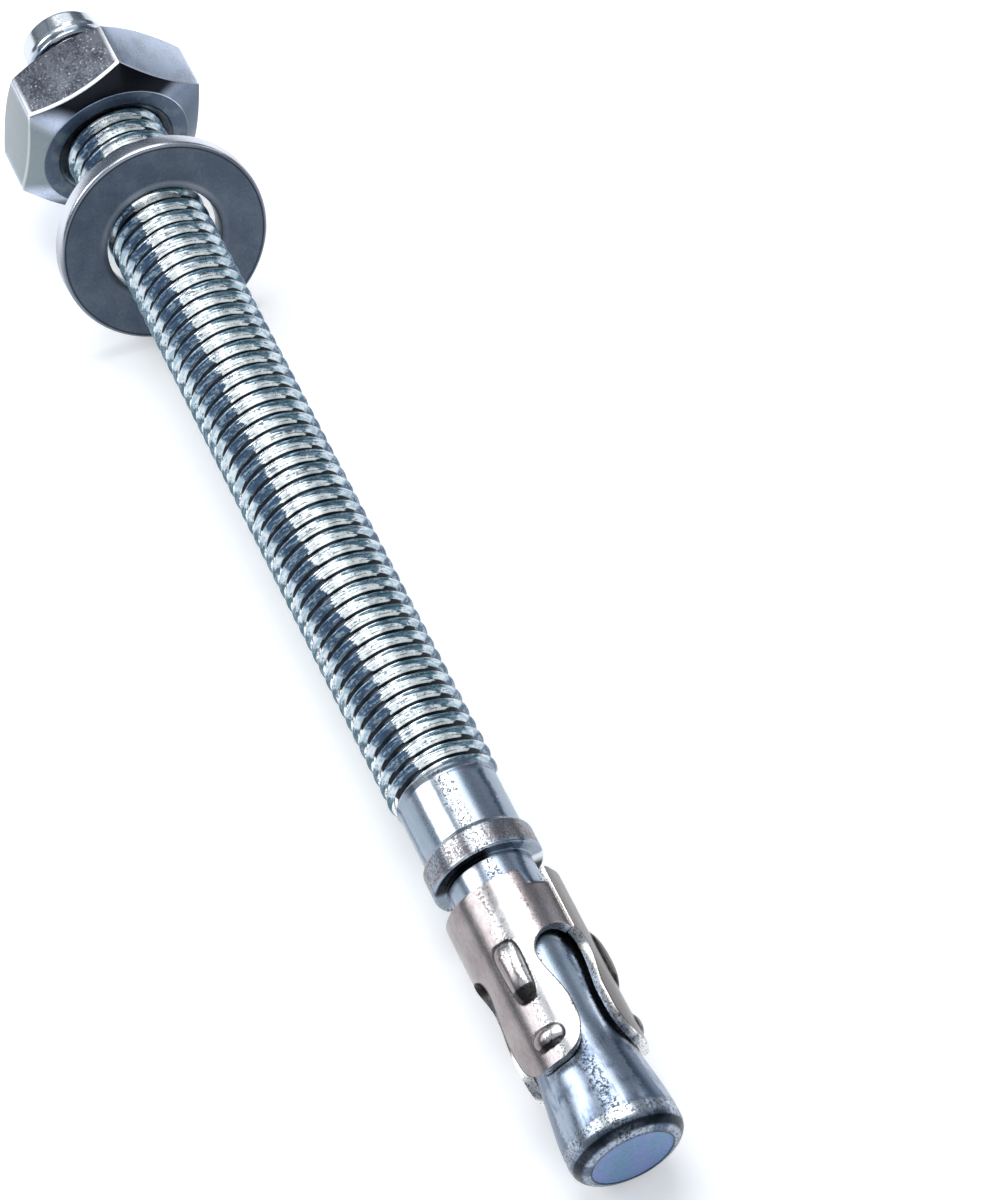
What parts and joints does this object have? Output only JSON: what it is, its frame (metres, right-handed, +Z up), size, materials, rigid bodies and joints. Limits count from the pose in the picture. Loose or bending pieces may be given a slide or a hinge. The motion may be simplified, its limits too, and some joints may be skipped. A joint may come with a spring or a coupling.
{
  "type": "wedge anchor",
  "caption": "Wedge anchor: a threaded stud with a cone end, a split expansion clip round the cone, a plain washer and a hexagon nut.",
  "frame": {"origin": "bottom centre of the box around the anchor as it lies at rest on its washer's foot and its cone's rim", "axes": "+Z up, +X towards the cone end. The anchor's own axis lies in the XZ plane and dips towards +X by 2.72 degrees"},
  "size_m": [0.1302, 0.02, 0.0203],
  "materials": {
    "stud_steel": "bright drawn and rolled steel",
    "clip_steel": "pressed stainless strip",
    "washer_steel": "matt stamped steel",
    "nut_steel": "satin cold-formed steel"
  },
  "bodies": {
    "stud": {"anchor_stud": "stud_steel"},
    "clip": {"expansion_clip": "clip_steel"},
    "nut": {"hex_nut": "nut_steel"},
    "washer": {"washer": "washer_steel"}
  },
  "joints": [
    {"name": "clip_slide", "type": "slide", "parent": "stud", "child": "clip", "axis": [0.9989, 0, -0.0474], "range_m": [-0.0028, 0]},
    {"name": "nut_travel", "type": "slide", "parent": "stud", "child": "nut", "axis": [0.9989, 0, -0.0474], "range_m": [-0.006, 0.069]},
    {"name": "washer_slide", "type": "slide", "parent": "nut", "child": "washer", "axis": [0.9989, 0, -0.0474], "range_m": [-0.0081, 0]}
  ]
}
